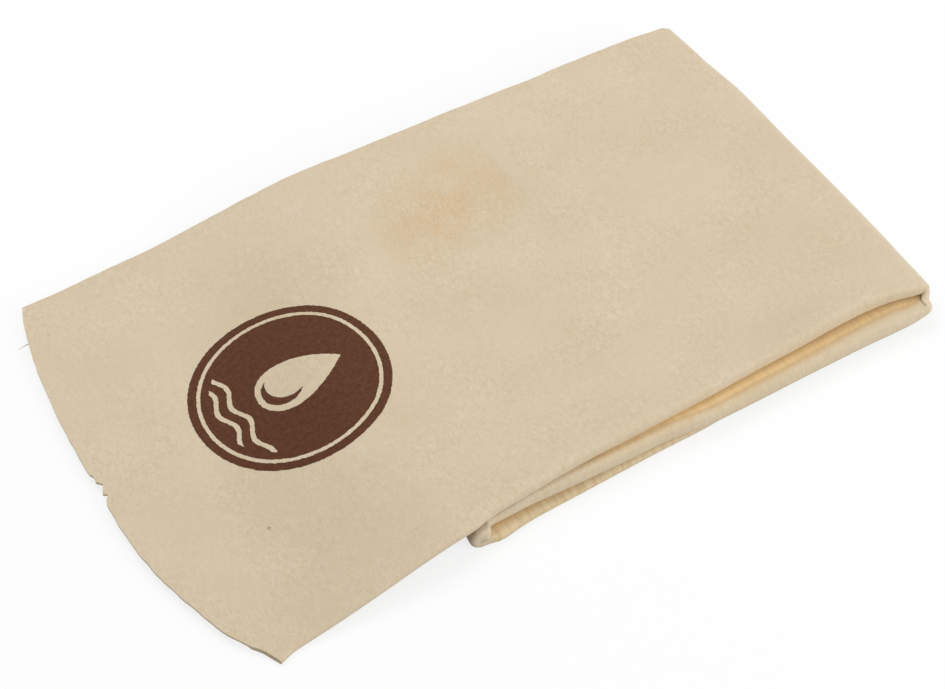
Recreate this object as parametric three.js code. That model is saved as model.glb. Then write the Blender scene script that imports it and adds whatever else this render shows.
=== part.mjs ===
// Chamois leather: one napped skin, doubled lengthwise, then folded across itself twice into a flat packet.
// The bottom, middle and top panels lie on each other like a Z, and the top panel's loose end hangs down.
// Millimetres, +Z up. The packet lies on z = 0, its long side along X and its rolled edge towards -Y.

import * as THREE from 'three';

const { lerp, inverseLerp, smoothstep } = THREE.MathUtils;

// The skin
const LEATHER = 1.3; // thickness of the leather with its nap
const LAYER_GAP = 0.6; // air between the two layers of the doubled skin
const PANEL_GAP = 1.6; // air between one folded panel and the next
const CUT = 0.3; // clearance between neighbouring stretches of the skin
const CHAMOIS = { color: 0xd6c6aa, roughness: 0.95, metalness: 0 };

// Lengths along the packet, from the axis of the left cross fold
const FOLD_SPAN = 204; // in to the axis of the right cross fold
const BOTTOM_SPAN = 202; // in to the raw end of the bottom panel
const LIFT_LINE = 7.5; // out to the line over which the loose end bends
const LOOSE_END = 106; // out to the furthest point of the loose end

// Widths of the doubled skin, from its rolled front edge to its raw back edges
const END_WIDTH = 191.5; // at the corners of the loose end, where the packet is widest
const FOLD_WIDTH = 172; // at the right cross fold
const WAIST_WIDTH = 126; // at the left cross fold, where the skin is narrowest
const BOTTOM_WIDTH = 171; // at the bottom panel's raw end

// The edges, measured across from the centre line of the packet
const TOP_FRONT = 84; // to the rolled front edge at the right cross fold
const BOTTOM_FRONT = 91; // to the bottom panel's rolled front edge
const LIFT_FLARE = 6; // spread of the top panel's front edge towards the loose end
const END_FLARE = 4.5; // further spread of the loose end's front edge, to its corner
const FLARE_CURVE = 2.2; // power that bends the top panel's front edge outwards
const BACK_CURVE = 2.5; // power that bends the top panel's back edge
const FLANK_CURVE = 3; // power that bends the back edges beside the waist

// The loose end
const END_CREST = 22; // from the centre line forward to its furthest point
const END_FRONT_CUT = 20; // from its furthest point back to its front corner, along X
const END_BACK_CUT = 16; // from its furthest point back to its back corner, along X
const LANDING_FRONT = 84; // from the left fold's axis out to where its front edge meets the table
const LANDING_BACK = 48; // from the left fold's axis out to where its back edge meets the table
const CREST_BACK = 47; // from the left fold's axis in to where its back edge starts to sink

// Facets
const LENGTH_STEPS = 14; // along a panel
const WIDTH_STEPS = 10; // across a panel that sinks
const TURN_STEPS = 10; // around a half turn

// Worked out from the sizes above
const DOUBLE = 2 * LEATHER + LAYER_GAP; // thickness of the doubled skin
const PITCH = DOUBLE + PANEL_GAP; // from one panel up to the next
const ROLL = DOUBLE / 2; // outer radius of the lengthwise fold
const LEFT_AXIS = DOUBLE + PANEL_GAP / 2; // height of the left cross fold's axis
const RIGHT_AXIS = LEFT_AXIS + PITCH; // height of the right cross fold's axis
const LIFT_FRONT = TOP_FRONT + LIFT_FLARE; // to the front edge where the loose end bends
const END_FRONT = LIFT_FRONT + END_FLARE; // to the front corner of the loose end
const END_BACK = END_WIDTH - END_FRONT; // to the back corner of the loose end
const FOLD_BACK = FOLD_WIDTH - TOP_FRONT; // to the back edge at the right cross fold
const WAIST_BACK = WAIST_WIDTH - BOTTOM_FRONT; // to the back edge at the left cross fold
const BOTTOM_BACK = BOTTOM_WIDTH - BOTTOM_FRONT; // to the back edge at the bottom panel's raw end

// Height of the top panel's underside: level on the packet, sinking to the table past its crest line.
function underside(x, y) {
  const landing = lerp(-LANDING_FRONT, -LANDING_BACK, inverseLerp(-END_FRONT, END_BACK, y));
  const crest = lerp(-LIFT_LINE, CREST_BACK, smoothstep(y, WAIST_BACK, END_BACK));
  return 2 * PITCH * smoothstep(x, landing, crest);
}

// The loose end's raw outline: X of the edge, round at its furthest point and cut back to both corners.
function rawEnd(y) {
  const corner = y < -END_CREST ? -END_FRONT : END_BACK;
  const cut = y < -END_CREST ? END_FRONT_CUT : END_BACK_CUT;
  return cut * inverseLerp(-END_CREST, corner, y) ** 2 - LOOSE_END;
}

// The top panel's raw back edge, drawn in towards the right cross fold.
function topBack(x) {
  return lerp(END_BACK, FOLD_BACK, inverseLerp(-LOOSE_END, FOLD_SPAN, x) ** BACK_CURVE);
}

// The raw back edge of a hidden panel, which widens from the waist at the left cross fold.
function flank(share, back) {
  return lerp(back, WAIST_BACK, (1 - share) ** FLANK_CURVE);
}

// A half turn of the doubled skin about a cross fold's axis, from one end angle to the other.
function turn(x, z, from, to) {
  return (share, y, height) => {
    const angle = lerp(from, to, share);
    const radius = PANEL_GAP / 2 + height;
    return [x + radius * Math.cos(angle), y, z + radius * Math.sin(angle)];
  };
}

// Each stretch of the doubled skin: its share runs along the skin, its height through both layers.
const bottom = {
  name: 'bottom',
  sides: ['lower_layer', 'upper_layer', 'front_roll'],
  steps: [LENGTH_STEPS, 1],
  front: () => -BOTTOM_FRONT,
  back: (share) => flank(share, BOTTOM_BACK),
  place: (share, y, height) => [lerp(CUT, BOTTOM_SPAN, share), y, height],
};

const leftFold = {
  name: 'left_fold',
  sides: ['inner', 'outer', 'corner'],
  steps: [TURN_STEPS, 1],
  front: () => -BOTTOM_FRONT,
  back: () => WAIST_BACK,
  place: turn(0, LEFT_AXIS, (3 / 2) * Math.PI, Math.PI / 2),
};

const middle = {
  name: 'middle',
  sides: ['lower_layer', 'upper_layer', 'front_roll'],
  steps: [LENGTH_STEPS, 1],
  front: (share) => -lerp(BOTTOM_FRONT, TOP_FRONT, share),
  back: (share) => flank(share, FOLD_BACK),
  place: (share, y, height) => [lerp(CUT, FOLD_SPAN - CUT, share), y, PITCH + height],
};

const rightFold = {
  name: 'right_fold',
  sides: ['inner', 'outer', 'corner'],
  steps: [TURN_STEPS, 1],
  front: () => -TOP_FRONT,
  back: () => FOLD_BACK,
  place: turn(FOLD_SPAN, RIGHT_AXIS, Math.PI / 2, -Math.PI / 2),
};

const top = {
  name: 'top',
  sides: ['lower_layer', 'upper_layer', 'front_roll'],
  steps: [LENGTH_STEPS, WIDTH_STEPS],
  front: (share) => -(TOP_FRONT + LIFT_FLARE * (1 - share) ** FLARE_CURVE),
  back: (share) => topBack(lerp(-LIFT_LINE, FOLD_SPAN, share)),
  place: (share, y, height) => {
    const x = lerp(-LIFT_LINE, FOLD_SPAN - CUT, share);
    return [x, y, underside(x, y) + height];
  },
};

const looseEnd = {
  name: 'loose_end',
  sides: ['lower_layer', 'upper_layer', 'front_roll'],
  steps: [LENGTH_STEPS, WIDTH_STEPS],
  front: (share) => -lerp(END_FRONT, LIFT_FRONT, share),
  back: (share) => topBack(lerp(-LOOSE_END, -LIFT_LINE, share)),
  place: (share, y, height) => {
    const x = lerp(rawEnd(y), -LIFT_LINE - CUT, share);
    return [x, y, underside(x, y) + height];
  },
};

// A closed shell: two sheets of facets, one through the leather from the other, walled in around their rim.
function shell(name, [lengthSteps, widthSteps], place) {
  const sheet = new THREE.PlaneGeometry(1, 1, lengthSteps, widthSteps).translate(1 / 2, 1 / 2, 0);
  const spots = sheet.attributes.position;
  const corners = [];
  for (const through of [1, 0]) {
    for (let i = 0; i < spots.count; i++) {
      corners.push(...place(spots.getX(i), spots.getY(i), through));
    }
  }
  const below = spots.count;
  const faces = [];
  const rim = new Map();
  for (let i = 0; i < sheet.index.count; i += 3) {
    const [a, b, c] = sheet.index.array.slice(i, i + 3);
    faces.push(a, b, c, c + below, b + below, a + below);
    for (const [from, to] of [[a, b], [b, c], [c, a]]) {
      if (!rim.delete(`${to} ${from}`)) {
        rim.set(`${from} ${to}`, [from, to]);
      }
    }
  }
  for (const [from, to] of rim.values()) {
    faces.push(to, from, from + below, to, from + below, to + below);
  }
  const geometry = new THREE.BufferGeometry();
  geometry.setAttribute('position', new THREE.Float32BufferAttribute(corners, 3));
  geometry.setIndex(faces);
  geometry.computeVertexNormals();
  const mesh = new THREE.Mesh(geometry, new THREE.MeshStandardMaterial(CHAMOIS));
  mesh.name = name;
  return mesh;
}

// One layer of a stretch, from behind its lengthwise roll to its raw back edge.
function layer(stretch, side, height) {
  return shell(`${stretch.name}_${side}`, stretch.steps, (share, across, through) => {
    const y = lerp(stretch.front(share) + ROLL + CUT, stretch.back(share), across);
    return stretch.place(share, y, height + LEATHER * through);
  });
}

// The lengthwise fold of a stretch: half a turn of leather that joins its two layers along the front.
function roll(stretch, side) {
  return shell(`${stretch.name}_${side}`, [stretch.steps[0], TURN_STEPS], (share, around, through) => {
    const angle = Math.PI * (around - 1 / 2);
    const radius = ROLL - LEATHER * (1 - through);
    const y = stretch.front(share) + ROLL - radius * Math.cos(angle);
    return stretch.place(share, y, ROLL + radius * Math.sin(angle));
  });
}

// The packet, with its origin under the middle of its outline, on the table.
const packet = new THREE.Group();
for (const stretch of [bottom, leftFold, middle, rightFold, top, looseEnd]) {
  const [near, far, front] = stretch.sides;
  const skin = new THREE.Group();
  skin.add(layer(stretch, near, 0), layer(stretch, far, DOUBLE - LEATHER), roll(stretch, front));
  packet.add(skin);
}
const outline = new THREE.Box3().setFromObject(packet);
packet.position.copy(outline.getCenter(new THREE.Vector3())).setZ(outline.min.z).negate();
packet.updateMatrixWorld(true);

export default packet;
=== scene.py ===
import math

import bmesh
import bpy
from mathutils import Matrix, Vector, noise


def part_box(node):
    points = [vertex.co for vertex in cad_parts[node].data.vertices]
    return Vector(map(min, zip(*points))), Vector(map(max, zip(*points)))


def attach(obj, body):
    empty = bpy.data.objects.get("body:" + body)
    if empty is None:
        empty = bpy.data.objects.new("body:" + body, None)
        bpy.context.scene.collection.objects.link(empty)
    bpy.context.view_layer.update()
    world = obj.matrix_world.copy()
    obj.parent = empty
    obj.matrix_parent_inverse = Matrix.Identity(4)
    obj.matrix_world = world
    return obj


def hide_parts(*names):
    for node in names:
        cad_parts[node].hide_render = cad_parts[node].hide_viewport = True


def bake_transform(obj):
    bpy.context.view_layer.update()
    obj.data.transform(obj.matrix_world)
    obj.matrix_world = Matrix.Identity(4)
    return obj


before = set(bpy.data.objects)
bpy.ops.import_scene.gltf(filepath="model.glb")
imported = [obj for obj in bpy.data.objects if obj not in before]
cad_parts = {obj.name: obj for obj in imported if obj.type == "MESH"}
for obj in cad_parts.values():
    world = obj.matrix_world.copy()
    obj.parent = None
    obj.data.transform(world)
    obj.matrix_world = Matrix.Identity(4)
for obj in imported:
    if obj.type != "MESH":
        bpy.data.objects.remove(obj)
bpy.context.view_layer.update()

# Bottom panel: the far end of the one oil-tanned skin, lying flat on the table. The skin is doubled here as
# everywhere, with its rolled fold along the front and two raw edges at the back, and its end is cut straight.
# The whole folded skin is laid out first, because every later length of it follows the same run.
MM = 0.001
LEATHER = 1.1  # mm through the skin with its nap
DOUBLE = 3.2  # mm through the doubled skin at rest
HALF_GAP = (DOUBLE - LEATHER) / 2  # from the doubled skin's middle to the middle of one layer
TURN = 2.4  # mm, radius of a cross fold to the middle of the doubled skin
HALF_TURN = math.pi * TURN

RAW_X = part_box("loose_end_upper_layer")[0].x / MM
LEFT_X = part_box("left_fold_outer")[1].x / MM
RIGHT_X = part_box("right_fold_outer")[0].x / MM
SPAN = RIGHT_X - LEFT_X
BOTTOM_SPAN = 202  # mm from the left fold's axis to the bottom panel's cut end
BOTTOM_Z = DOUBLE / 2
LEFT_Z = BOTTOM_Z + TURN
MIDDLE_Z = LEFT_Z + TURN
RIGHT_Z = MIDDLE_Z + TURN
TOP_Z = RIGHT_Z + TURN

# Lengths along the skin in mm, from the tip of its loose end to where each stretch starts or ends
TOP_END = RIGHT_X - RAW_X
MIDDLE_START = TOP_END + HALF_TURN
MIDDLE_END = MIDDLE_START + SPAN
BOTTOM_START = MIDDLE_END + HALF_TURN
BOTTOM_END = BOTTOM_START + BOTTOM_SPAN
RIGHT_BEND = TOP_END + HALF_TURN / 2
LEFT_BEND = MIDDLE_END + HALF_TURN / 2
# Where one piece of the scene meets the next
TOP_SEAM = 206
MIDDLE_SEAM = MIDDLE_START + TOP_END - TOP_SEAM
BOTTOM_SEAM = BOTTOM_START + 30


def along_skin(top, right_bend, middle, left_bend, bottom):
    """A table along the skin. The top panel is measured from its tip, the others from the left fold's axis."""
    return (
        list(top)
        + [(RIGHT_BEND, right_bend)]
        + [(MIDDLE_END - out, value) for out, value in reversed(middle)]
        + [(LEFT_BEND, left_bend)]
        + [(BOTTOM_START + out, value) for out, value in bottom]
    )


# Rolled front edge, in mm: its place behind the frame's middle, how far its roll swells to the printed side and
# to the other side, and how deep the roll is from front to back on the other side and on the printed side
FRONT_EDGE = along_skin(
    top=(
        (20, -96.6), (27, -94.6), (35, -94.1), (61, -93.3), (78, -92.4), (96, -91.1), (102, -90.4), (107, -89.1),
        (113, -88), (127, -86.9), (143, -85.8), (159, -85.3), (175, -85.3), (191, -85), (207, -84.7), (231, -83.9),
        (247, -83.7), (263, -83.2), (279, -82.9), (292, -83.7), (300, -85), (306, -86.4), (TOP_END, -87),
    ),
    right_bend=-89.4,
    middle=(
        (0, -92.2), (1.4, -92.4), (2.2, -92.1), (3.1, -89.6), (3.8, -88.7), (6, -88.5), (20, -88.5), (29, -88.9),
        (45, -89.6), (61, -90), (77, -90.2), (85, -90.8), (93, -91.7), (101, -92.3), (117, -92.3), (133, -92.3),
        (157, -92.5), (175, -92.8), (189, -93.4), (197, -93.8), (SPAN, -93.6), (SPAN + 2, -92.8),
    ),
    left_bend=-91.6,
    bottom=(
        (0, -92.2), (1.4, -92.4), (2.6, -92.6), (3.4, -92.8), (5, -93.3), (7.6, -93.2), (10, -92.8), (14, -92.2),
        (23, -91.5), (41, -91.2), (61, -90.8), (77, -90.6), (93, -90.7), (101, -90.3), (109, -89.4), (118, -87.6),
        (128, -86.4), (204, -86.3),
    ),
)
ROLL_RISE = along_skin(
    top=((20, 1), (45, 1.3), (98, 1.65), (127, 2), (206, 2.2), (285, 2.4), (303, 2), (TOP_END, 1.7)),
    right_bend=0.9,
    middle=(
        (0, 2.4), (1, 2.52), (2.4, 2.56), (5, 2.5), (8, 2.55), (16, 2.68), (30, 2.95), (52.5, 3.3), (87.5, 3.95),
        (107.5, 4.4), (123.5, 4.7), (185, 4.7), (196, 4), (SPAN, 2.7), (SPAN + 2, 2.2),
    ),
    left_bend=2.38,
    bottom=(
        (0, 2.4), (1, 2.52), (2.4, 2.5), (5, 2.35), (8, 2.28), (20, 2.08), (30, 1.9), (60, 1.6), (95, 1.2), (204, 1.2),
    ),
)
ROLL_DROP = along_skin(
    top=(
        (20, 1.6), (98, 1.65), (113, 2.1), (127, 2.4), (206, 2.4), (240, 2.5), (258, 3.1), (275, 3.7),
        (292, 3.05), (302, 2.6), (TOP_END, 2.5),
    ),
    right_bend=2.5,
    middle=((0, 1.9), (8, 2), (20, 2.8), (85, 2.8), (98, 2.6), (190, 2.55), (SPAN, 2.5)),
    left_bend=1.9,
    bottom=((0, 1.6), (204, 1.6)),
)
ROLL_DEPTH = along_skin(
    top=((20, 1.2), (45, 1.3), (98, 1.2), (125, 0.9), (285, 0.9), (303, 0.9), (TOP_END, 0.8)),
    right_bend=0.6,
    middle=((0, 2.2), (15, 1.9), (52, 2.4), (87, 2.7), (123, 3), (188, 3), (198, 1.6), (SPAN, 0.9)),
    left_bend=2.4,
    bottom=((0, 2.2), (12, 1.7), (204, 1.6)),
)
PRINT_DEPTH = along_skin(
    top=((20, 2.5), (40, 4.2), (98, 4.4), (125, 3.4), (285, 3), (303, 2.4), (TOP_END, 2)),
    right_bend=1.9,
    middle=((0, 0.5), (2, 0.5), (3.2, 1.4), (6, 2.4), (20, 3.2), (87, 3), (190, 3), (SPAN, 2.4)),
    left_bend=0.5,
    bottom=((0, 0.5), (2, 0.5), (3.4, 1.4), (5, 2.2), (10, 2.8), (60, 2.8), (100, 2), (204, 1.6)),
)
# Yellower tone on the front of the roll and in the crease that it makes with the panel above it: partly the
# worn, creased nap, and partly painted warm glow that stands in for light bounced into their shade
FACE_WEAR_AND_GLOW = along_skin(
    top=((90, 0), (160, 0.04), (290, 0.05), (TOP_END, 0.06)),
    right_bend=0.08,
    middle=((0, 0.04), (22, 0.05), (50, 0.12), (80, 0.22), (140, 0.22), (165, 0.13), (185, 0.06), (SPAN, 0.06)),
    left_bend=0.04,
    bottom=((0, 0.03), (2.6, 0.05), (3.4, 0.75), (25, 0.75), (60, 0.65), (95, 0.5), (120, 0.4), (204, 0.3)),
)
CREASE_WEAR_AND_GLOW = along_skin(
    top=((90, 0.2), (160, 0.6), (285, 0.8), (TOP_END, 0.4)),
    right_bend=0.25,
    middle=((0, 0.03), (25, 0.08), (40, 0.3), (50, 0.75), (62, 0.92), (100, 1), (190, 1), (SPAN, 0.7)),
    left_bend=0.05,
    bottom=((0, 0.03), (2.6, 0.05), (3.4, 0.8), (8, 0.98), (60, 0.95), (100, 0.6), (204, 0.3)),
)
# Raw back edge of the top panel: mm along the skin from its tip, and mm behind the frame's middle there
TOP_BACK = (
    (0, 95.9), (18, 96.2), (40, 96.4), (62, 97.2), (84, 97.3), (106, 97), (129, 96.1), (145, 94.9), (162, 94),
    (197, 92.9), (221, 92.3), (244, 91.1), (262, 90.9), (282, 90.2), (294, 89.6), (304, 88.2), (TOP_END, 87.6),
)
FOLD_BACK = 86.75  # mm behind the frame's middle at the right cross fold
WAIST_BACK = 33.75  # at the left cross fold
BOTTOM_BACK = 78.75  # at the bottom panel's end
FLANK_CURVE = 3  # power that bends the hidden panels' back edges beside the waist
BACK_TUCK = 2.6  # mm that the layer away from the print stays back at the raw edges
TUCK_REACH = (2, 26)  # mm behind the front edge, over which that layer starts to stay back
ROLL_REACH = 13  # mm behind a roll until the layers lie flat
FULL_ROLL_REACH = 8  # the same on the middle and bottom panels, whose rolls are fuller
CREASE_REACH = 16  # the same where the panel above them lies in the crease
FOLD_EASE = 20  # mm on either side of the right cross fold, over which one reach passes to the other
SQUARENESS = 0.8  # of a roll's section, where 1 is an ellipse
# The right cross fold isn't straight: how far right of its axis it lies, from front to back
FOLD_BOW = (
    (-96, -5.6), (-93.5, -5.8), (-91.5, -6), (-90, -6), (-88.6, -5), (-87.2, -3.5), (-86, -2.7), (-77, -2.6),
    (-68, -2.2), (-59, -1.6), (-45, -1), (-21, -0.2), (9, 0.4), (27, 1.1), (40, 1.4), (51, 0.7), (63, -0.1), (74, -0.3),
    (86, -0.8), (95, -1),
)
BOW_REACH = 90  # mm on either side of that fold until the skin lies square again
NUB_BULGE = 2  # mm that the left cross fold's front corner stands out
NUB_REACH = 14  # mm along the skin on either side of it
NUB_Y = -92  # mm behind the frame's middle
NUB_WIDTH = 8  # mm across the packet on either side of that
# The loose end sinks to the table: mm out from the left fold's axis to where it lands and in to where it starts
END_FRONT = 95.75  # from the frame's middle forward to the loose end's corner
END_WIDTH = 191.5  # from that corner to its back corner
LANDING = (84, 48)  # at its front and back edges
CREST = (-7.5, 47)
CREST_TURN = (-10, 75)  # mm behind the frame's middle, over which the crest runs from one to the other
FULL_SAG = 4 * TURN  # from the top panel's level to the table
# Unevenness of the top panel, in mm: the size and height of its soft swells, and the third noise ordinate
SWELLS = ((55, 0.32, 0), (19, 0.1, 4))
SWELL_END = (25, 4)  # before the right cross fold, over which they die away
SWELL_START = (20, 100)  # from the tip, over which they grow
TIP_SWELL = 0.35  # share of them at the tip
RIDGE = (275, 24, 1.7)  # place along the skin, reach and height of the raised front edge near that fold
RIDGE_BACK = (4, 42)  # behind the front edge, over which it falls
VALLEY = (262, 36, 0.55)  # the same for the shallow valley behind it
VALLEY_BACK = (28, 11)  # behind the front edge to its middle, and its reach
# Wear of the rolls and the painted warm glow in their shaded crease, in mm around the roll from its front
WARM_RISE = (0.5, 2.5)  # from this share of the quarter turn until past it by so much
WARM_FADE = (14, 34)  # over which the crease's tone dies away
FACE_FADE = 4  # where only the roll's face is worn and tinted with painted shade glow
PALE_LOBE = 2.4  # more of the roll that stays pale beside the right cross fold
PALE_REACH = 60  # along the skin on either side of it
PUCKER = 0.12  # height of the fine creases across a worn roll
PUCKER_STEP = 1.9  # along the skin from one to the next
PUCKER_FADE = 4  # behind the front edge
# Raw edges, in mm: the depth and length of their waves and the third noise ordinate, and how the leather thins
FRAYS = ((0.5, 21, 2), (0.2, 6, 9))
FRAY_SIDE = 7  # noise ordinate that sets the two layers apart
RAW_THIN = (0.9, 0.5)  # how far from the edge it starts, and the share of the thickness that is left there
# The pattern's place across the skin starts at the roll and eases to the distance from a straight line
PATTERN_FRONT = 91  # mm in front of the frame's middle
PATTERN_EASE = (4, 55)  # mm around the roll and behind it
# Facets of the skin: around a quarter of the roll, then from it to the raw back edge. They grow from a share of
# the largest at the roll and at the raw edge, and are finest again where the loose end is torn.
TURN_CELLS = 7
FLAT_CELLS = 104
ROLL_GROWTH = (0.22, 1.2)
RAW_GROWTH = (0.16, 1.6)
TORN_CELL = 52  # the tear's place among them
TORN_FINENESS = (0.65, 9)  # share taken off the cells there, and how many on either side
EDGE_ROUNDS = 5  # of finding where an edge crosses a row of cells
ROUGH_FRONT = -90  # mm behind the frame's middle, the first guess at the front edge


def lerp(a, b, share):
    return a + (b - a) * share


def ease(value, start, end):
    share = min(max((value - start) / (end - start), 0), 1)
    return share * share * (3 - 2 * share)


def bump(value, centre, width):
    return math.exp(-(((value - centre) / width) ** 2))


def ordinate(table, at):
    """A smooth curve through a table of points that never swings past them."""
    i = 1
    while i < len(table) - 1 and table[i][0] < at:
        i += 1
    slopes = []
    for j in (i - 1, i):
        near = [table[k] for k in (j - 1, j, j + 1) if 0 <= k < len(table)]
        steps = [(b[1] - a[1]) / (b[0] - a[0]) for a, b in zip(near, near[1:])]
        rising = steps[0] * steps[-1] > 0
        slopes.append(2 * steps[0] * steps[-1] / (steps[0] + steps[-1]) if rising else 0)
    (x0, y0), (x1, y1) = table[i - 1], table[i]
    span = x1 - x0
    t = min(max((at - x0) / span, 0), 1)
    bend = t * (1 - t) * span * (slopes[0] * (1 - t) - slopes[1] * t)
    return lerp(y0, y1, t * t * (3 - 2 * t)) + bend


def back_edge(run):
    """How far back the raw edge reaches along the skin."""
    if run <= TOP_END:
        return ordinate(TOP_BACK, run)
    if run <= MIDDLE_END:
        return lerp(FOLD_BACK, WAIST_BACK, max((run - MIDDLE_START) / SPAN, 0) ** FLANK_CURVE)
    left = min(max(1 - (run - BOTTOM_START) / BOTTOM_SPAN, 0), 1)
    return lerp(WAIST_BACK, BOTTOM_BACK, 1 - left**FLANK_CURVE)


def sag(x, y):
    """How far the top panel has sunk from its level towards the table."""
    landing = LEFT_X - lerp(*LANDING, (y + END_FRONT) / END_WIDTH)
    crest = LEFT_X + lerp(*CREST, ease(y, *CREST_TURN))
    return FULL_SAG * (1 - ease(x, landing, crest))


def lay(run, y, lift):
    """Where a point of the folded skin lies, in mm. Lift is towards the printed layer."""
    bow = ordinate(FOLD_BOW, y) * (1 - ease(abs(run - RIGHT_BEND), 0, BOW_REACH))
    nub = NUB_BULGE * bump(y, NUB_Y, NUB_WIDTH) * (1 - ease(abs(run - LEFT_BEND), 0, NUB_REACH))
    if run <= TOP_END:
        x = RAW_X + run
        return x + bow, y, TOP_Z - sag(x, y) + lift
    if run < MIDDLE_START:
        turn = (run - TOP_END) / TURN
        return RIGHT_X + bow + (TURN + lift) * math.sin(turn), y, RIGHT_Z + (TURN + lift) * math.cos(turn)
    if run <= MIDDLE_END:
        return RIGHT_X + bow - nub - run + MIDDLE_START, y, MIDDLE_Z - lift
    if run < BOTTOM_START:
        turn = (run - MIDDLE_END) / TURN
        return LEFT_X - nub - (TURN - lift) * math.sin(turn), y, LEFT_Z + (TURN - lift) * math.cos(turn)
    return LEFT_X - nub + run - BOTTOM_START, y, BOTTOM_Z + lift


def handling(run, y, behind):
    """Soft unevenness of a skin that has been folded by hand, in mm of lift."""
    if run >= TOP_END:
        return 0
    level = sum(noise.noise((run / size, y / size, at)) * height for size, height, at in SWELLS)
    level *= 1 - ease(run, TOP_END - SWELL_END[0], TOP_END - SWELL_END[1])
    level *= lerp(TIP_SWELL, 1, ease(run, *SWELL_START))
    ridge = bump(run, RIDGE[0], RIDGE[1]) * RIDGE[2] * (1 - ease(behind, *RIDGE_BACK))
    valley = bump(run, VALLEY[0], VALLEY[1]) * VALLEY[2] * bump(behind, *VALLEY_BACK)
    return level + ridge - valley


def stations(start, end, step):
    """Places along the skin from start to end, about a step apart."""
    count = max(1, round((end - start) / step))
    return [lerp(start, end, i / count) for i in range(count + 1)]


def doubled_skin(name, places, run_at):
    """One length of the doubled skin: a flat grid laid out along the run, rolled at the front and thickened."""
    growth = [
        min(
            1 - TORN_FINENESS[0] * bump(i, TORN_CELL, TORN_FINENESS[1]),
            ROLL_GROWTH[0] * ROLL_GROWTH[1] ** i,
            RAW_GROWTH[0] * RAW_GROWTH[1] ** (FLAT_CELLS - 1 - i),
        )
        for i in range(FLAT_CELLS)
    ]
    flat_share = [sum(growth[: i + 1]) / sum(growth) for i in range(FLAT_CELLS)]
    half = TURN_CELLS + FLAT_CELLS
    bm = bmesh.new()
    bmesh.ops.create_grid(bm, x_segments=len(places) - 1, y_segments=2 * half, size=1)
    wear_and_glow = bm.verts.layers.float.new("wear_and_glow")
    weight = bm.verts.layers.deform.new()
    flat_map = {}
    columns = {}
    for vert in bm.verts:
        i = round((vert.co.x + 1) / 2 * (len(places) - 1))
        j = round((vert.co.y + 1) * half) - half
        # Where the front and back edges cross this row, and the tables' values there
        if i not in columns:
            run = run_at(places[i], ROUGH_FRONT, 0)
            for _ in range(EDGE_ROUNDS):
                front = ordinate(FRONT_EDGE, run)
                run = run_at(places[i], front, 0)
            behind_run = run
            for _ in range(EDGE_ROUNDS):
                back = back_edge(behind_run)
                behind_run = run_at(places[i], back, 0)
            swell = [ordinate(table, run) for table in (ROLL_RISE, ROLL_DROP, PRINT_DEPTH, ROLL_DEPTH)]
            wear_glow = [ordinate(table, run) for table in (FACE_WEAR_AND_GLOW, CREASE_WEAR_AND_GLOW)]
            columns[i] = run, front, back, swell, wear_glow
        roll_run, front, back, (rise, drop, print_depth, plain_depth), (face_wear_and_glow, crease_wear_and_glow) = columns[i]
        side = 1 if j >= 0 else -1
        axis = (rise - drop) / 2
        height = (rise + drop - LEATHER) / 2
        depth = (print_depth if side > 0 else plain_depth) - LEATHER / 2
        quarter = (height + abs(depth)) / 2 * math.pi / 2
        # Around the roll, or on the flat layer from there to the raw edge
        if abs(j) <= TURN_CELLS:
            angle = abs(j) / TURN_CELLS * math.pi / 2
            behind = depth * (1 - max(math.cos(angle), 0) ** SQUARENESS)
            lift = axis + side * height * math.sin(angle) ** SQUARENESS
            arc = quarter * abs(j) / TURN_CELLS
            edge = 1
        else:
            share = flat_share[abs(j) - TURN_CELLS - 1]
            fray = sum(deep * noise.noise((roll_run / long, FRAY_SIDE * side, at)) for deep, long, at in FRAYS)
            width = back - front - depth + fray - (BACK_TUCK if side < 0 else 0)
            behind = depth + width * share
            full_reach = FULL_ROLL_REACH if side > 0 else CREASE_REACH
            reach = lerp(ROLL_REACH, full_reach, ease(roll_run, TOP_END - FOLD_EASE, MIDDLE_START + FOLD_EASE))
            flat = 1 - ease(width * share, 0, reach)
            lift = side * HALF_GAP + (axis + side * (height - HALF_GAP)) * flat
            arc = quarter + width * share
            edge = lerp(RAW_THIN[1], 1, min((1 - share) * width / RAW_THIN[0], 1) ** 0.5)
        y = front + behind
        run = run_at(places[i], y, ease(behind, *TUCK_REACH) if side < 0 else 0)
        # Wear and painted warm shade glow on the roll's face, and on one side in the crease beside it too
        crease_side = 1 if roll_run > LEFT_BEND else -1
        if side == crease_side:
            pale = PALE_LOBE * bump(roll_run, MIDDLE_START, PALE_REACH)
            deep = ease(arc, quarter * WARM_RISE[0] + pale, quarter + WARM_RISE[1] + pale)
            wear_glow = lerp(face_wear_and_glow, crease_wear_and_glow, deep) * (1 - ease(arc, *WARM_FADE))
        else:
            wear_glow = face_wear_and_glow * math.exp(-((arc / FACE_FADE) ** 2))
        pucker = PUCKER * face_wear_and_glow * noise.noise((roll_run / PUCKER_STEP, 3, 0)) * math.exp(-behind / PUCKER_FADE)
        lift += handling(run, y, behind) + side * pucker
        vert.co = Vector(lay(run, y, lift)) * MM
        vert[wear_and_glow] = wear_glow
        vert[weight][0] = edge
        across = arc + (front + PATTERN_FRONT) * ease(arc, *PATTERN_EASE)
        flat_map[vert] = run * MM, side * across * MM
    skin_map = bm.loops.layers.uv.new("skin")
    for face in bm.faces:
        face.smooth = True
        for loop in face.loops:
            loop[skin_map].uv = flat_map[loop.vert]
    for rim in bm.edges:
        rim.smooth = not rim.is_boundary
    mesh = bpy.data.meshes.new(name)
    bm.to_mesh(mesh)
    bm.free()
    skin = bpy.data.objects.new(name, mesh)
    bpy.context.scene.collection.objects.link(skin)
    skin.vertex_groups.new(name="thickness")
    wall = skin.modifiers.new("leather", "SOLIDIFY")
    wall.thickness = LEATHER * MM
    wall.offset = 0
    wall.vertex_group = "thickness"
    wall.use_quality_normals = True
    return skin


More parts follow.
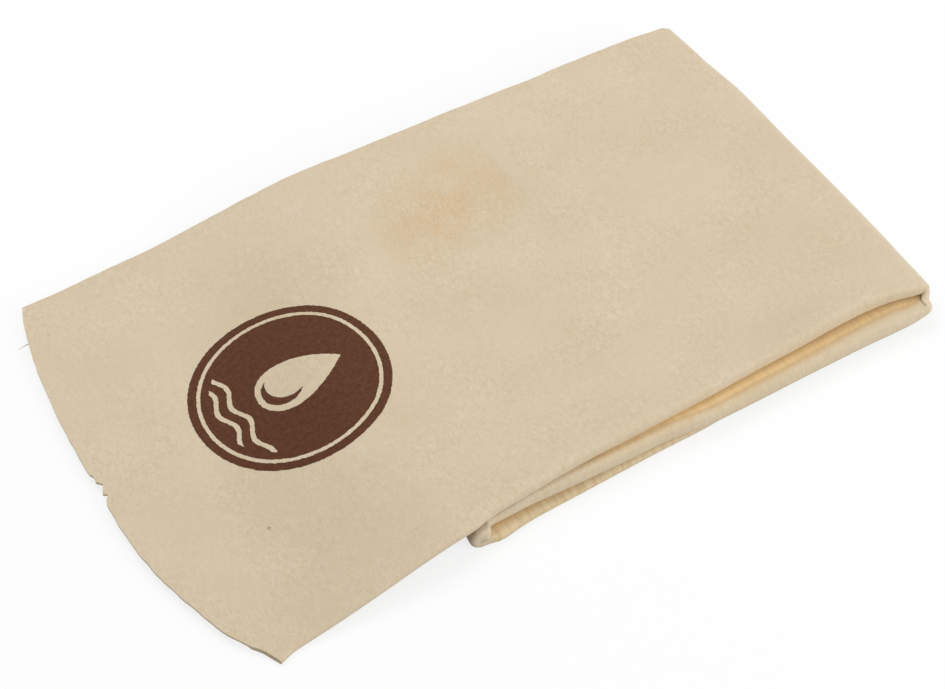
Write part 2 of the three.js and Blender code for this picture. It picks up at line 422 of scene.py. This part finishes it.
def srgb(code):
    channels = [int(code[i : i + 2], 16) / 255 for i in (1, 3, 5)]
    return [c / 12.92 if c <= 0.04045 else ((c + 0.055) / 1.055) ** 2.4 for c in channels] + [1]


def node(tree, kind, inputs=None, **settings):
    made = tree.nodes.new(kind)
    for name, value in settings.items():
        setattr(made, name, value)
    for socket, value in (inputs or {}).items():
        if isinstance(value, bpy.types.NodeSocket):
            tree.links.new(value, made.inputs[socket])
        else:
            made.inputs[socket].default_value = value
    return made


# Chamois: a split sheepskin tanned in oil and buffed on both faces, so it is quite matt, softly clouded and
# covered in a short nap that shows as fine pale and dark flecks. Where it is creased the colour is yellower, partly
# from wear and partly as painted warm glow for light bounced into the shaded creases: worn in streaks on the rolls
# of the printed side, with painted shade darkening the fine creases across them, and painted brighter deep in the
# creases to lift their shade.
LEATHER_PALE = "#DFD0B7"
LEATHER_DEEP = "#D3C1A2"
# Painted glow: the yellow-orange of the shaded crease beside a roll, partly worn leather and partly light bounced into
# the shade
LEATHER_CREASE_WARM_GLOW = "#CBA873"
# Painted light: a brighter yellow deep in the creases that stands in for light bounced into their shade
LEATHER_CREASE_LIGHT = "#EACA96"
LEATHER_WORN_PALE = "#E3D0A9"
# Worn tone of the streaks; its darkness in the fine creases across the roll is painted shade
LEATHER_WORN_SHADED = "#D0B285"
NAP_SHEEN = "#F6EBD8"
CLOUD = 38  # mm across a cloud in the colour
FLECK = 1.6  # mm along a fleck of the nap, drawn coarser than the real 1 mm so that it shows
GRAIN = 0.9  # mm across the fine grain of the nap
ROUGH = 30  # mm across an area where the nap stands rougher or lies smoother
CREASE = 2.2  # mm, half the way from one crease across a worn roll to the next
PRINTED = (-5, -2)  # mm around the roll from its front, over which the printed side starts


def chamois(name):
    material = bpy.data.materials.new(name)
    material.use_nodes = True
    tree = material.node_tree
    shader = tree.nodes["Principled BSDF"]
    place = node(tree, "ShaderNodeUVMap", uv_map="skin").outputs["UV"]
    cloud = node(tree, "ShaderNodeTexNoise", {"Vector": place, "Scale": 1 / (CLOUD * MM), "Detail": 3.0})
    fleck_place = node(tree, "ShaderNodeMapping", {"Vector": place, "Scale": (1.0, 0.7, 1.0), "Rotation": (0, 0, 0.5)})
    fleck = node(tree, "ShaderNodeTexNoise", {
        "Vector": fleck_place.outputs[0], "Scale": 1 / (FLECK * MM), "Detail": 4.0, "Roughness": 0.62,
        "Distortion": 1.2,
    })
    grain = node(tree, "ShaderNodeTexNoise", {"Vector": place, "Scale": 1 / (GRAIN * MM), "Detail": 2.0})
    soft = node(tree, "ShaderNodeMapRange", {
        "Value": cloud.outputs["Fac"], "From Min": 0.3, "From Max": 0.7, "To Min": 0.3, "To Max": 0.7,
    })
    speckled = node(tree, "ShaderNodeMapRange", {
        "Value": fleck.outputs["Fac"], "From Min": 0.3, "From Max": 0.7, "To Min": -0.5, "To Max": 0.5,
    })
    rough = node(tree, "ShaderNodeTexNoise", {
        "Vector": place, "Scale": 1 / (ROUGH * MM), "Detail": 2.0, "W": 3.0,
    }, noise_dimensions="4D")
    roughened = node(tree, "ShaderNodeMapRange", {
        "Value": rough.outputs["Fac"], "From Min": 0.4, "From Max": 0.62, "To Min": 0.45, "To Max": 1.25,
    })
    tone = node(tree, "ShaderNodeMath", {
        0: speckled.outputs[0], 1: roughened.outputs[0], 2: soft.outputs[0],
    }, operation="MULTIPLY_ADD", use_clamp=True)
    buff = node(tree, "ShaderNodeMix", {
        "Factor": tone.outputs[0], 6: srgb(LEATHER_DEEP), 7: srgb(LEATHER_PALE),
    }, data_type="RGBA")
    crease_place = node(tree, "ShaderNodeMapping", {"Vector": place, "Scale": (1.0, 0.25, 1.0)})
    crease = node(tree, "ShaderNodeTexNoise", {
        "Vector": crease_place.outputs[0], "Scale": 1 / (CREASE * MM), "Detail": 3.0,
    })
    # Streaks across the worn roll, darker in the creases between them as painted shade
    streak = node(tree, "ShaderNodeMapRange", {
        "Value": crease.outputs["Fac"], "From Min": 0.38, "From Max": 0.6, "To Min": 0.9, "To Max": 0.0,
    })
    across = node(tree, "ShaderNodeSeparateXYZ", {0: place})
    printed_side = node(tree, "ShaderNodeMapRange", {
        "Value": across.outputs["Y"], "From Min": PRINTED[0] * MM, "From Max": PRINTED[1] * MM,
    })
    streaked = node(tree, "ShaderNodeMix", {
        "Factor": streak.outputs[0], 6: srgb(LEATHER_WORN_PALE), 7: srgb(LEATHER_WORN_SHADED),
    }, data_type="RGBA")
    # The mask of wear and painted shade glow that each piece lays on its vertices
    wear_and_glow_mask = node(tree, "ShaderNodeAttribute", attribute_name="wear_and_glow")
    # Painted light: deep in the crease the colour is lifted to the brighter crease tone, less in the streaks' creases
    deep = node(tree, "ShaderNodeMapRange", {"Value": wear_and_glow_mask.outputs["Fac"], "From Min": 0.68, "From Max": 0.98})
    crease_light_share = node(tree, "ShaderNodeMath", {
        0: streak.outputs[0], 1: -0.3, 2: deep.outputs[0],
    }, operation="MULTIPLY_ADD", use_clamp=True)
    creased = node(tree, "ShaderNodeMix", {
        "Factor": printed_side.outputs[0], 6: srgb(LEATHER_CREASE_WARM_GLOW), 7: streaked.outputs[2],
    }, data_type="RGBA")
    crease_lit_tone = node(tree, "ShaderNodeMix", {
        "Factor": crease_light_share.outputs[0], 6: creased.outputs[2], 7: srgb(LEATHER_CREASE_LIGHT),
    }, data_type="RGBA")
    colour = node(tree, "ShaderNodeMix", {
        "Factor": wear_and_glow_mask.outputs["Fac"], 6: buff.outputs[2], 7: crease_lit_tone.outputs[2],
    }, data_type="RGBA")
    tree.links.new(colour.outputs[2], shader.inputs["Base Color"])
    nap = node(tree, "ShaderNodeMath", {0: fleck.outputs["Fac"], 1: grain.outputs["Fac"]}, operation="ADD")
    raised = node(tree, "ShaderNodeBump", {"Height": nap.outputs[0], "Strength": 0.3, "Distance": 0.4 * MM})
    tree.links.new(raised.outputs["Normal"], shader.inputs["Normal"])
    shader.inputs["Roughness"].default_value = 0.95
    shader.inputs["IOR"].default_value = 1.45
    shader.inputs["Specular IOR Level"].default_value = 0.15
    shader.inputs["Subsurface Weight"].default_value = 0.4
    shader.inputs["Subsurface Radius"].default_value = (1.0, 0.8, 0.6)
    shader.inputs["Subsurface Scale"].default_value = 0.7 * MM
    shader.inputs["Sheen Weight"].default_value = 0.12
    shader.inputs["Sheen Roughness"].default_value = 0.6
    shader.inputs["Sheen Tint"].default_value = srgb(NAP_SHEEN)
    return material


# The bottom panel's cut end: mm behind the frame's middle, and how far past its span it reaches there
BOTTOM_RAW = ((-86.6, -4), (-85.5, -1.5), (-83.5, -0.2), (-80, 0.3), (-40, -1), (78.75, -0.5))
BOTTOM_TUCK = 2  # mm that the lower layer's cut end stays back
# Rows of cells, as shares of the panel's length, which close up towards its cut end
BOTTOM_ROWS = stations(0, 0.97, 0.0115) + [0.98, 0.988, 0.994, 0.998, 1]
bottom_skin = doubled_skin(
    "bottom_skin",
    BOTTOM_ROWS,
    lambda share, y, under: lerp(BOTTOM_SEAM, BOTTOM_END + ordinate(BOTTOM_RAW, y) - BOTTOM_TUCK * under, share),
)
plain_chamois = chamois("chamois_napped")
bottom_skin.data.materials.append(plain_chamois)
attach(bottom_skin, "bottom")
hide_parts("bottom_lower_layer", "bottom_upper_layer", "bottom_front_roll")

# Left cross fold: the waist of the skin, turned over from the bottom panel to the middle panel. Its rounded
# front corner peeps out under the front edge, and the leather around it is creased and worn to a warmer tone,
# which is partly painted glow of light in the shade under the roll above.
BEND_ROW = HALF_TURN / 18  # mm from one row of cells to the next around a cross fold
CORNER = 9  # mm on either side of this one, where its corner is rounded and the rows are close
NEAR_CORNER = 30
LEFT_ROWS = (
    stations(MIDDLE_SEAM, MIDDLE_END - NEAR_CORNER, 2.2)
    + stations(MIDDLE_END - NEAR_CORNER, MIDDLE_END - CORNER, 1.1)[1:]
    + stations(MIDDLE_END - CORNER, MIDDLE_END, 0.6)[1:]
    + stations(MIDDLE_END, BOTTOM_START, BEND_ROW)[1:]
    + stations(BOTTOM_START, BOTTOM_START + CORNER, 0.45)[1:]
    + stations(BOTTOM_START + CORNER, BOTTOM_SEAM, 1)[1:]
)
left_fold_skin = doubled_skin("left_fold_skin", LEFT_ROWS, lambda run, y, under: run)
left_fold_skin.data.materials.append(plain_chamois)
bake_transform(left_fold_skin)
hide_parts("left_fold_inner", "left_fold_outer", "left_fold_corner")

# Right cross fold: the skin turned back over itself from the middle panel to the top panel. Its roll is pinched
# at the front corner, and the top panel's front edge rises there, so that the middle one shows in its shade.
RIGHT_ROWS = (
    stations(TOP_SEAM, TOP_END, 1.6)
    + stations(TOP_END, MIDDLE_START, BEND_ROW)[1:]
    + stations(MIDDLE_START, MIDDLE_SEAM, 2.2)[1:]
)
right_fold_skin = doubled_skin("right_fold_skin", RIGHT_ROWS, lambda run, y, under: run)
right_fold_skin.data.materials.append(plain_chamois)
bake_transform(right_fold_skin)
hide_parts("right_fold_inner", "right_fold_outer", "right_fold_corner",
            "middle_lower_layer", "middle_upper_layer", "middle_front_roll")

# Loose end: the top panel's raw end, which hangs over the left cross fold and lies with its cut edge on the
# table. It carries a stamp in brown ink that has soaked into the nap, and further back a rubbed, warmer patch.
# Its cut edge: mm behind the frame's middle, and how far along the skin from the tip it lies there
LOOSE_RAW = (
    (-97.2, 20.3), (-93.3, 18.6), (-89.4, 16.6), (-86.1, 13.9), (-80.9, 11), (-77, 9.1), (-69.9, 7.1), (-62.9, 5.3),
    (-55.7, 3.4), (-49, 2), (-42.1, 0.7), (-35.6, 0), (-29, -0.5), (-16.5, -0.7), (-8, -0.2), (4, 0.4), (14.5, 0.7),
    (27, 1.5), (40, 2.5), (52.3, 4.2), (65.2, 6), (77.5, 8.8), (89.8, 12.1), (97.2, 15.2),
)
END_TUCK = 3  # mm that the lower layer's cut edge stays back
# A torn stretch of the cut edge: mm behind the frame's middle, and how deep the tear goes there
TEAR = (
    (-6.5, 0), (-4.5, 0.5), (-3.1, 1.8), (-2.2, 1.7), (-1.4, 0.5), (0.4, 1.3), (2.4, 2.2), (3.3, 2.4), (4.2, 0.3),
    (6, 0.9), (7.6, 0.8), (8.6, 0),
)
CUT_WAVE = (0.25, 5)  # mm, depth and length of the knife's unevenness


def loose_run(share, y, under):
    wave = CUT_WAVE[0] * noise.noise((y / CUT_WAVE[1], under, 5))
    cut = ordinate(LOOSE_RAW, y) + ordinate(TEAR, y) + wave
    return lerp(cut + END_TUCK * under, TOP_SEAM, share)


LOOSE_ROWS = [0, 0.0015, 0.004, 0.0075, 0.012, 0.018] + stations(0.026, 1, 0.0084)
loose_end_skin = doubled_skin("loose_end_skin", LOOSE_ROWS, loose_run)
stamped_chamois = chamois("chamois_napped_stamped")
loose_end_skin.data.materials.append(stamped_chamois)

# Stamp: brown ink pressed into the nap from a round block, so its edge is a little ragged and the nap shows
# through as flecks. A drop stands over two waves inside a ring, all left bare.
INK_DEEP = "#55301D"
INK_WORN = "#6A412B"
STAMP_PLACE = (80, 94)  # mm along the skin from its tip, and back from its rolled edge
STAMP_RADIUS = 38  # mm
RING = (33.9, 0.75)  # mm, radius and half the width of its line
DROP = (22, -13, 28.5)  # mm from the stamp's middle to the drop's tip and foot, and a measure of its width
GLINT = ((-3, 0, 0), 7.8, (-0.4, 2.3, 0), 7.7)  # mm, two circles that leave a crescent in the drop
WAVES = (-20.5, -26)  # mm from the stamp's middle to each wave
WAVE_LENGTH = 18  # mm from crest to crest
WAVE_HEIGHT = 1.5  # mm that a crest rises
WAVE_LINE = 0.95  # mm, half the width of a wave's line
WAVE_REACH = 30  # mm from the stamp's middle to the waves' ends
RAGGED = 1.1  # mm along the ragged edge of the ink
RAGGED_DEPTH = 0.9  # mm
ink_tree = stamped_chamois.node_tree
ink_shader = ink_tree.nodes["Principled BSDF"]
bare_colour = ink_shader.inputs["Base Color"].links[0].from_socket
ink_map = node(ink_tree, "ShaderNodeUVMap", uv_map="skin").outputs["UV"]
ink_place = node(ink_tree, "ShaderNodeMapping", {
    "Vector": ink_map, "Location": (-STAMP_PLACE[0], -STAMP_PLACE[1], 0), "Scale": (1 / MM, 1 / MM, 1 / MM),
}).outputs[0]
ragged = node(ink_tree, "ShaderNodeTexNoise", {"Vector": ink_place, "Scale": 1 / RAGGED, "Detail": 3.0})
ragged_step = node(ink_tree, "ShaderNodeVectorMath", {
    0: ragged.outputs["Color"], 1: (RAGGED_DEPTH, RAGGED_DEPTH, 0), 2: (-RAGGED_DEPTH / 2, -RAGGED_DEPTH / 2, 0),
}, operation="MULTIPLY_ADD")
soaked = node(ink_tree, "ShaderNodeVectorMath", {0: ink_place, 1: ragged_step.outputs[0]}, operation="ADD").outputs[0]
stamp_axes = node(ink_tree, "ShaderNodeSeparateXYZ", {0: soaked})
from_middle = node(ink_tree, "ShaderNodeVectorMath", {0: soaked}, operation="LENGTH").outputs["Value"]
disc = node(ink_tree, "ShaderNodeMath", {0: from_middle, 1: STAMP_RADIUS}, operation="LESS_THAN")
ring = node(ink_tree, "ShaderNodeMath", {0: from_middle, 1: RING[0], 2: RING[1]}, operation="COMPARE")
down_drop = node(ink_tree, "ShaderNodeMapRange", {
    "Value": stamp_axes.outputs["X"], "From Min": DROP[0], "From Max": DROP[1],
}).outputs[0]
drop_foot = node(ink_tree, "ShaderNodeMath", {0: 1.0, 1: down_drop}, operation="SUBTRACT")
drop_round = node(ink_tree, "ShaderNodeMath", {0: drop_foot.outputs[0], 1: 0.5}, operation="POWER")
drop_share = node(ink_tree, "ShaderNodeMath", {0: drop_round.outputs[0], 1: down_drop}, operation="MULTIPLY")
drop_width = node(ink_tree, "ShaderNodeMath", {0: drop_share.outputs[0], 1: DROP[2]}, operation="MULTIPLY")
aside = node(ink_tree, "ShaderNodeMath", {0: stamp_axes.outputs["Y"]}, operation="ABSOLUTE")
drop = node(ink_tree, "ShaderNodeMath", {0: aside.outputs[0], 1: drop_width.outputs[0]}, operation="LESS_THAN")
glint_far = node(ink_tree, "ShaderNodeVectorMath", {0: soaked, 1: GLINT[0]}, operation="DISTANCE")
glint_near = node(ink_tree, "ShaderNodeVectorMath", {0: soaked, 1: GLINT[2]}, operation="DISTANCE")
glint_disc = node(ink_tree, "ShaderNodeMath", {0: glint_far.outputs["Value"], 1: GLINT[1]}, operation="LESS_THAN")
glint_bite = node(ink_tree, "ShaderNodeMath", {0: glint_near.outputs["Value"], 1: GLINT[3]}, operation="GREATER_THAN")
glint = node(ink_tree, "ShaderNodeMath", {0: glint_disc.outputs[0], 1: glint_bite.outputs[0]}, operation="MULTIPLY")
bare_drop = node(ink_tree, "ShaderNodeMath", {
    0: drop.outputs[0], 1: glint.outputs[0],
}, operation="SUBTRACT", use_clamp=True)
wave_phase = node(ink_tree, "ShaderNodeMath", {
    0: stamp_axes.outputs["Y"], 1: 2 * math.pi / WAVE_LENGTH,
}, operation="MULTIPLY")
wave_swing = node(ink_tree, "ShaderNodeMath", {0: wave_phase.outputs[0]}, operation="SINE")
wave_level = node(ink_tree, "ShaderNodeMath", {
    0: wave_swing.outputs[0], 1: WAVE_HEIGHT, 2: stamp_axes.outputs["X"],
}, operation="MULTIPLY_ADD")
upper_wave = node(ink_tree, "ShaderNodeMath", {
    0: wave_level.outputs[0], 1: WAVES[0], 2: WAVE_LINE,
}, operation="COMPARE")
lower_wave = node(ink_tree, "ShaderNodeMath", {
    0: wave_level.outputs[0], 1: WAVES[1], 2: WAVE_LINE,
}, operation="COMPARE")
waves = node(ink_tree, "ShaderNodeMath", {0: upper_wave.outputs[0], 1: lower_wave.outputs[0]}, operation="MAXIMUM")
wave_field = node(ink_tree, "ShaderNodeMath", {0: from_middle, 1: WAVE_REACH}, operation="LESS_THAN")
bare_waves = node(ink_tree, "ShaderNodeMath", {0: waves.outputs[0], 1: wave_field.outputs[0]}, operation="MULTIPLY")
bare_motif = node(ink_tree, "ShaderNodeMath", {0: bare_drop.outputs[0], 1: bare_waves.outputs[0]}, operation="MAXIMUM")
bare = node(ink_tree, "ShaderNodeMath", {0: bare_motif.outputs[0], 1: ring.outputs[0]}, operation="MAXIMUM")
inked = node(ink_tree, "ShaderNodeMath", {0: disc.outputs[0], 1: bare.outputs[0]}, operation="SUBTRACT", use_clamp=True)
ink_fleck = node(ink_tree, "ShaderNodeTexNoise", {
    "Vector": ink_place, "Scale": 1 / FLECK, "Detail": 4.0, "Roughness": 0.65,
})
ink_wear = node(ink_tree, "ShaderNodeMapRange", {"Value": ink_fleck.outputs["Fac"], "From Min": 0.35, "From Max": 0.7})
ink = node(ink_tree, "ShaderNodeMix", {
    "Factor": ink_wear.outputs[0], 6: srgb(INK_DEEP), 7: srgb(INK_WORN),
}, data_type="RGBA")

# Rubbed patch: the nap is worn through in flecks behind the stamp, and the leather under it is more orange.
LEATHER_RUBBED = "#DEB27A"
RUB_PLACE = (177, 140)  # mm along the skin from its tip, and back from its rolled edge
RUB_SIZE = (46, 29)  # mm from its middle to its ends and sides
RUB_TURN = 0.42  # rad
RUB_FLECK = 1  # mm
RUB_RELIEF = -5  # how much deeper the worn flecks lie, measured as the nap's height is
RUB_SPOT = 13  # mm across the spots that make up the patch
rub_place = node(ink_tree, "ShaderNodeMapping", {
    "Vector": ink_map, "Location": (RUB_PLACE[0] * MM, RUB_PLACE[1] * MM, 0), "Rotation": (0, 0, RUB_TURN),
    "Scale": (RUB_SIZE[0] * MM, RUB_SIZE[1] * MM, 1),
}, vector_type="TEXTURE").outputs[0]
rub_distance = node(ink_tree, "ShaderNodeVectorMath", {0: rub_place}, operation="LENGTH")
rub_field = node(ink_tree, "ShaderNodeMapRange", {
    "Value": rub_distance.outputs["Value"], "From Min": 0.1, "From Max": 1.15, "To Min": 1.0, "To Max": 0.0,
}, interpolation_type="SMOOTHSTEP")
rub_noise = node(ink_tree, "ShaderNodeTexNoise", {
    "Vector": ink_map, "Scale": 1 / (RUB_FLECK * MM), "Detail": 3.0, "Roughness": 0.7,
})
rub_fleck = node(ink_tree, "ShaderNodeMapRange", {
    "Value": rub_noise.outputs["Fac"], "From Min": 0.46, "From Max": 0.62, "To Min": 0.14, "To Max": 0.7,
})
rub_cloud = node(ink_tree, "ShaderNodeTexNoise", {"Vector": ink_map, "Scale": 1 / (RUB_SPOT * MM), "Detail": 2.0})
rub_spots = node(ink_tree, "ShaderNodeMapRange", {
    "Value": rub_cloud.outputs["Fac"], "From Min": 0.38, "From Max": 0.58, "To Min": 0.35, "To Max": 1.0,
})
rub_spread = node(ink_tree, "ShaderNodeMath", {0: rub_field.outputs[0], 1: rub_spots.outputs[0]}, operation="MULTIPLY")
rubbed = node(ink_tree, "ShaderNodeMath", {0: rub_spread.outputs[0], 1: rub_fleck.outputs[0]}, operation="MULTIPLY")
rub_bump = ink_shader.inputs["Normal"].links[0].from_node
rub_relief = node(ink_tree, "ShaderNodeMath", {
    0: rubbed.outputs[0], 1: RUB_RELIEF, 2: rub_bump.inputs["Height"].links[0].from_socket,
}, operation="MULTIPLY_ADD")
ink_tree.links.new(rub_relief.outputs[0], rub_bump.inputs["Height"])
rubbed_colour = node(ink_tree, "ShaderNodeMix", {
    "Factor": rubbed.outputs[0], 6: bare_colour, 7: srgb(LEATHER_RUBBED),
}, data_type="RGBA")
SPECK_PLACE = (43.4, 44, 0)  # mm, measured as the stamp is
SPECK_RADIUS = 0.45  # mm
speck_place = node(ink_tree, "ShaderNodeVectorMath", {0: ink_map, "Scale": 1 / MM}, operation="SCALE")
speck_distance = node(ink_tree, "ShaderNodeVectorMath", {
    0: speck_place.outputs[0], 1: SPECK_PLACE,
}, operation="DISTANCE")
speck = node(ink_tree, "ShaderNodeMapRange", {
    "Value": speck_distance.outputs["Value"], "From Min": SPECK_RADIUS, "From Max": 2 * SPECK_RADIUS,
    "To Min": 0.4, "To Max": 0.0,
})
specked_colour = node(ink_tree, "ShaderNodeMix", {
    "Factor": speck.outputs[0], 6: rubbed_colour.outputs[2], 7: srgb(INK_WORN),
}, data_type="RGBA")
stamped_colour = node(ink_tree, "ShaderNodeMix", {
    "Factor": inked.outputs[0], 6: specked_colour.outputs[2], 7: ink.outputs[2],
}, data_type="RGBA")
ink_tree.links.new(stamped_colour.outputs[2], ink_shader.inputs["Base Color"])
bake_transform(loose_end_skin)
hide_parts("loose_end_lower_layer", "loose_end_upper_layer", "loose_end_front_roll",
            "top_lower_layer", "top_upper_layer", "top_front_roll")

# Stray fibres: one long hair and a few short ends that the knife has pulled out of the loose end's cut edge. They
# are the skin's own fibres, thin and curved, and each is still rooted in the leather.
STRAY_FIBRES = (  # mm: how far behind the frame's middle it is rooted, its length, its radius, sideways, down
    (77.8, 5.2, 0.26, 0.9, 0.9), (3.8, 1.7, 0.16, -0.5, 0.2), (-2.6, 1.4, 0.14, 0.4, 0.1), (-1.2, 1.1, 0.14, 0.2, 0.3),
    (7.2, 1.2, 0.14, 0.3, 0.2),
)
FIBRE_ROOT = 1.2  # mm that a fibre reaches into the leather
FIBRE_SIDES = 6
FIBRE_CUTS = 7  # along its length
FIBRE_TAPER = 3  # times thinner at its tip
FIBRE_WAVE = (1.6, 0.25)  # half waves along it, and how far they swing as a share of its way sideways
fibre_mesh = bmesh.new()
for fibre_y, fibre_length, fibre_radius, sideways, droop in STRAY_FIBRES:
    root = lay(loose_run(0, fibre_y, 0) + FIBRE_ROOT, fibre_y, HALF_GAP)
    made = bmesh.ops.create_cone(
        fibre_mesh, cap_ends=True, segments=FIBRE_SIDES,
        radius1=fibre_radius, radius2=fibre_radius / FIBRE_TAPER, depth=fibre_length,
    )
    lengthwise = {edge for vert in made["verts"] for edge in vert.link_edges
                  if abs(edge.verts[0].co.z - edge.verts[1].co.z) > fibre_length / 2}
    bmesh.ops.subdivide_edges(fibre_mesh, edges=list(lengthwise), cuts=FIBRE_CUTS)
    for vert in fibre_mesh.verts:
        if vert.tag:
            continue
        out = vert.co.z / fibre_length + 0.5
        wave = math.sin(out * math.pi * FIBRE_WAVE[0])
        vert.co = Vector((
            root[0] - out * fibre_length,
            root[1] + vert.co.y + sideways * (out + FIBRE_WAVE[1] * wave),
            root[2] + vert.co.x - droop * out * out,
        )) * MM
        vert.tag = True
bmesh.ops.recalc_face_normals(fibre_mesh, faces=fibre_mesh.faces)
fibre_map = fibre_mesh.loops.layers.uv.new("skin")
for face in fibre_mesh.faces:
    face.smooth = True
    for loop in face.loops:
        loop[fibre_map].uv = loop.vert.co.xy
stray_data = bpy.data.meshes.new("stray_fibres")
fibre_mesh.to_mesh(stray_data)
fibre_mesh.free()
stray_fibres = bpy.data.objects.new("stray_fibres", stray_data)
bpy.context.scene.collection.objects.link(stray_fibres)
stray_data.materials.append(plain_chamois)
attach(stray_fibres, "loose_end")

# Table, light and camera: a plain white table under even tent light with a softbox above and another at the
# front right, seen from the front left and above.
TABLE_WHITE = "#FFFFFF"
TABLE_SHADE = "#C8C8C6"
TABLE_SIZE = 4  # m from its middle to its edge
TABLE_DROP = 0.2  # mm that it lies under the frame's ground, clear of the skin
TABLE_GLOW = 0.8  # share of its white that the shadow doesn't touch
table_grid = bmesh.new()
bmesh.ops.create_grid(table_grid, x_segments=1, y_segments=1, size=TABLE_SIZE)
bmesh.ops.translate(table_grid, verts=table_grid.verts, vec=(0, 0, -TABLE_DROP * MM))
table_mesh = bpy.data.meshes.new("table")
table_grid.to_mesh(table_mesh)
table_grid.free()
table = bpy.data.objects.new("table", table_mesh)
bpy.context.scene.collection.objects.link(table)
table_paint = bpy.data.materials.new("table_white")
table_paint.use_nodes = True
table_tree = table_paint.node_tree
table_tree.nodes.remove(table_tree.nodes["Principled BSDF"])
rays = node(table_tree, "ShaderNodeLightPath")
mirrored = node(table_tree, "ShaderNodeMath", {
    0: rays.outputs["Is Glossy Ray"], 1: rays.outputs["Is Transmission Ray"],
}, operation="MAXIMUM")
in_view = node(table_tree, "ShaderNodeMath", {
    0: rays.outputs["Is Camera Ray"], 1: mirrored.outputs[0],
}, operation="MAXIMUM")
table_colour = node(table_tree, "ShaderNodeMix", {
    "Factor": in_view.outputs[0], 6: srgb(TABLE_SHADE), 7: srgb(TABLE_WHITE),
}, data_type="RGBA")
matt = node(table_tree, "ShaderNodeBsdfDiffuse", {"Color": table_colour.outputs[2]})
seen = node(table_tree, "ShaderNodeEmission", {"Color": srgb(TABLE_WHITE), "Strength": 1.0})
seen_share = node(table_tree, "ShaderNodeMath", {0: in_view.outputs[0], 1: TABLE_GLOW}, operation="MULTIPLY")
table_shade = node(table_tree, "ShaderNodeMixShader", {
    0: seen_share.outputs[0], 1: matt.outputs[0], 2: seen.outputs[0],
})
table_tree.links.new(table_shade.outputs[0], table_tree.nodes["Material Output"].inputs["Surface"])
table_mesh.materials.append(table_paint)

tent = bpy.data.worlds.new("tent")
bpy.context.scene.world = tent
tent.use_nodes = True
tent_tree = tent.node_tree
TENT_LEVEL = 0.5  # how strongly it lights the skin, where the camera sees it at 1
tent_rays = node(tent_tree, "ShaderNodeLightPath")
tent_level = node(tent_tree, "ShaderNodeMapRange", {
    "Value": tent_rays.outputs["Is Camera Ray"], "To Min": TENT_LEVEL, "To Max": 1.0,
})
tent_tree.links.new(tent_level.outputs[0], tent_tree.nodes["Background"].inputs["Strength"])
tent_tree.nodes["Background"].inputs["Color"].default_value = (1, 1, 1, 1)

for lamp_name, lamp_place, lamp_size, watts in (
    ("top_softbox", (-0.05, 0.42, 0.88), 0.6, 3.65),
    ("front_softbox", (0.8, -1.1, 0.6), 0.9, 10),
):
    lamp_data = bpy.data.lights.new(lamp_name, "AREA")
    lamp_data.size = lamp_size
    lamp_data.energy = watts
    lamp = bpy.data.objects.new(lamp_name, lamp_data)
    lamp.location = lamp_place
    lamp.rotation_euler = (-Vector(lamp_place)).to_track_quat("-Z", "Y").to_euler()
    bpy.context.scene.collection.objects.link(lamp)

IMAGE_WIDTH = 945  # pixels
FOCAL_PIXELS = 2300  # focal length, fitted to the packet's corners
EYE = Vector((-312.7, -494.55, 658.7)) * MM
AIM = Vector((-5.13, -10.06, 0)) * MM
camera_data = bpy.data.cameras.new("camera")
camera_data.sensor_fit = "HORIZONTAL"
camera_data.sensor_width = 36
camera_data.lens = FOCAL_PIXELS / IMAGE_WIDTH * camera_data.sensor_width
camera_data.clip_start = 0.01
camera = bpy.data.objects.new("camera", camera_data)
camera.location = EYE
camera.rotation_euler = (AIM - EYE).to_track_quat("-Z", "Y").to_euler()
bpy.context.scene.collection.objects.link(camera)
bpy.context.scene.camera = camera
bpy.context.scene.view_settings.view_transform = "Standard"
